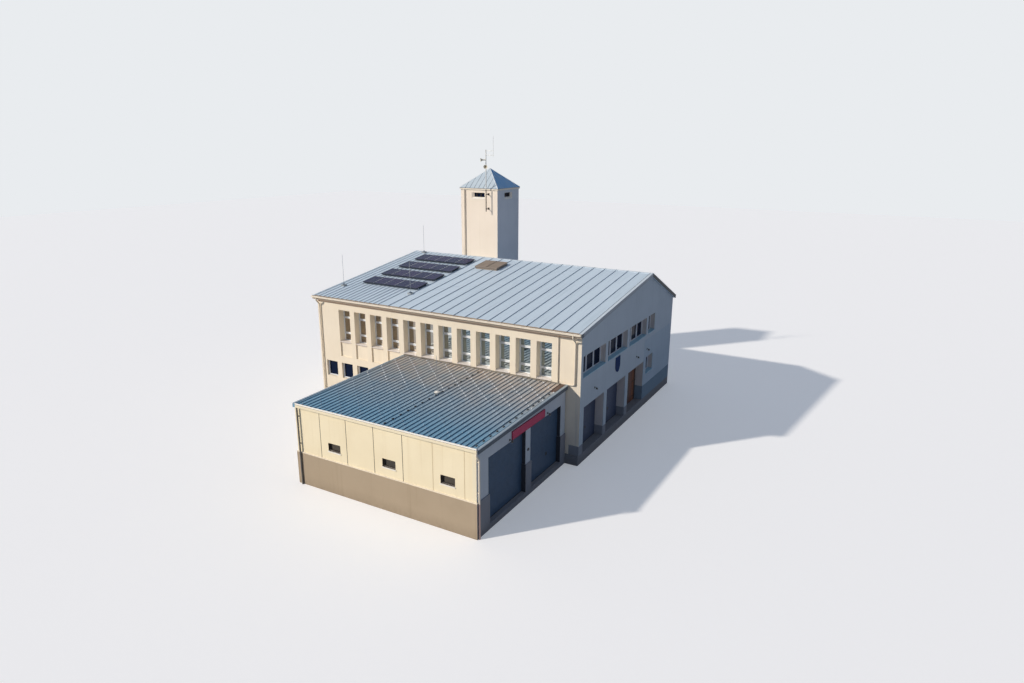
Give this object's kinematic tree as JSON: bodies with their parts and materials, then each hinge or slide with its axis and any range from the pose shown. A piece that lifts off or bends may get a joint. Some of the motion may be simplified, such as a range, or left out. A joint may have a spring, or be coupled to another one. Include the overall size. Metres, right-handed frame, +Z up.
{
  "type": "fire station building",
  "caption": "Fire station with a gabled hall, a lower garage annex, a hose tower with a siren mast and a bay with two hinged leaves.",
  "frame": {"origin": "front left corner of the hall's plan, on the lowest ground level that the walls reach", "axes": "+X to the right along the gable with the doors, +Y from that front towards the back, +Z up"},
  "size_m": [29.32, 21.9848, 20.29],
  "materials": {
    "concrete": "cast concrete, matte",
    "cream_render": "cream painted render, matte",
    "render_shade": "off-white painted render, matte",
    "plinth_render": "grey-beige plinth render, matte",
    "roof_metal": "pale blue-grey standing seam sheet",
    "annex_zinc": "weathered blue-grey ribbed sheet",
    "tower_metal": "pale blue-grey standing seam sheet",
    "pale_trim": "pale painted sheet metal",
    "window_white": "white painted frames",
    "window_glass": "dark window glass",
    "sill_metal": "pale metal sills",
    "door_grey": "dark grey-green painted steel",
    "door_timber": "brown stained boards",
    "hinge_steel": "black painted steel",
    "rail_metal": "mill aluminium",
    "collector_glass": "dark blue glazed collectors",
    "hatch_brown": "brown sheet",
    "lamp_metal": "dark painted metal",
    "badge_dark": "plain dark plate",
    "sign_red": "plain red plate",
    "mast_steel": "galvanised steel",
    "horn_cream": "cream painted horns"
  },
  "bodies": {
    "building": {"annex_back_wall": "cream_render", "annex_floor": "concrete", "annex_front_lintel": "render_shade", "annex_front_piers": "render_shade", "annex_garage_doors": "door_grey", "annex_gutter": "pale_trim", "annex_plinth": "plinth_render", "annex_roof": "annex_zinc", "annex_side_panels": "cream_render", "bay_c_frame": "door_timber", "bay_c_hinge_pins": "hinge_steel", "blank_badge": "badge_dark", "blank_sign": "sign_red", "downpipes": "pale_trim", "hall_back_wall": "cream_render", "hall_floor": "concrete", "hall_foundation": "concrete", "hall_front_band": "render_shade", "hall_front_gable": "render_shade", "hall_front_lintel": "render_shade", "hall_front_piers": "render_shade", "hall_front_posts": "render_shade", "hall_front_wall_right": "render_shade", "hall_garage_doors": "door_grey", "hall_gutters": "pale_trim", "hall_left_lintel": "cream_render", "hall_left_wall_back": "cream_render", "hall_left_wall_front": "cream_render", "hall_pilasters": "cream_render", "hall_ridge_cap": "roof_metal", "hall_right_wall": "cream_render", "hall_roof_left": "roof_metal", "hall_roof_right": "roof_metal", "hall_upper_floor": "concrete", "lightning_rods": "rail_metal", "roof_hatch": "hatch_brown", "siren_horns": "horn_cream", "siren_mast": "mast_steel", "solar_collectors": "collector_glass", "solar_rails": "rail_metal", "tall_window_frames": "window_white", "tall_window_glass": "window_glass", "tower_cross_walls": "cream_render", "tower_roof": "tower_metal", "tower_side_walls": "cream_render", "verge_trim": "pale_trim", "wall_lamps": "lamp_metal", "window_frames": "window_white", "window_glass": "window_glass", "window_sills": "sill_metal"},
    "bay_c_left_door": {"bay_c_left_leaf": "door_timber", "bay_c_left_straps": "hinge_steel"},
    "bay_c_right_door": {"bay_c_right_leaf": "door_timber", "bay_c_right_straps": "hinge_steel"}
  },
  "joints": [
    {"name": "bay_c_left_hinge", "type": "hinge", "parent": "building", "child": "bay_c_left_door", "pos_m": [8.648, 0.582, 0.64], "axis": [0, 0, -1], "range_deg": [0, 90]},
    {"name": "bay_c_right_hinge", "type": "hinge", "parent": "building", "child": "bay_c_right_door", "pos_m": [11.804, 0.582, 0.64], "axis": [0, 0, 1], "range_deg": [0, 90]}
  ]
}
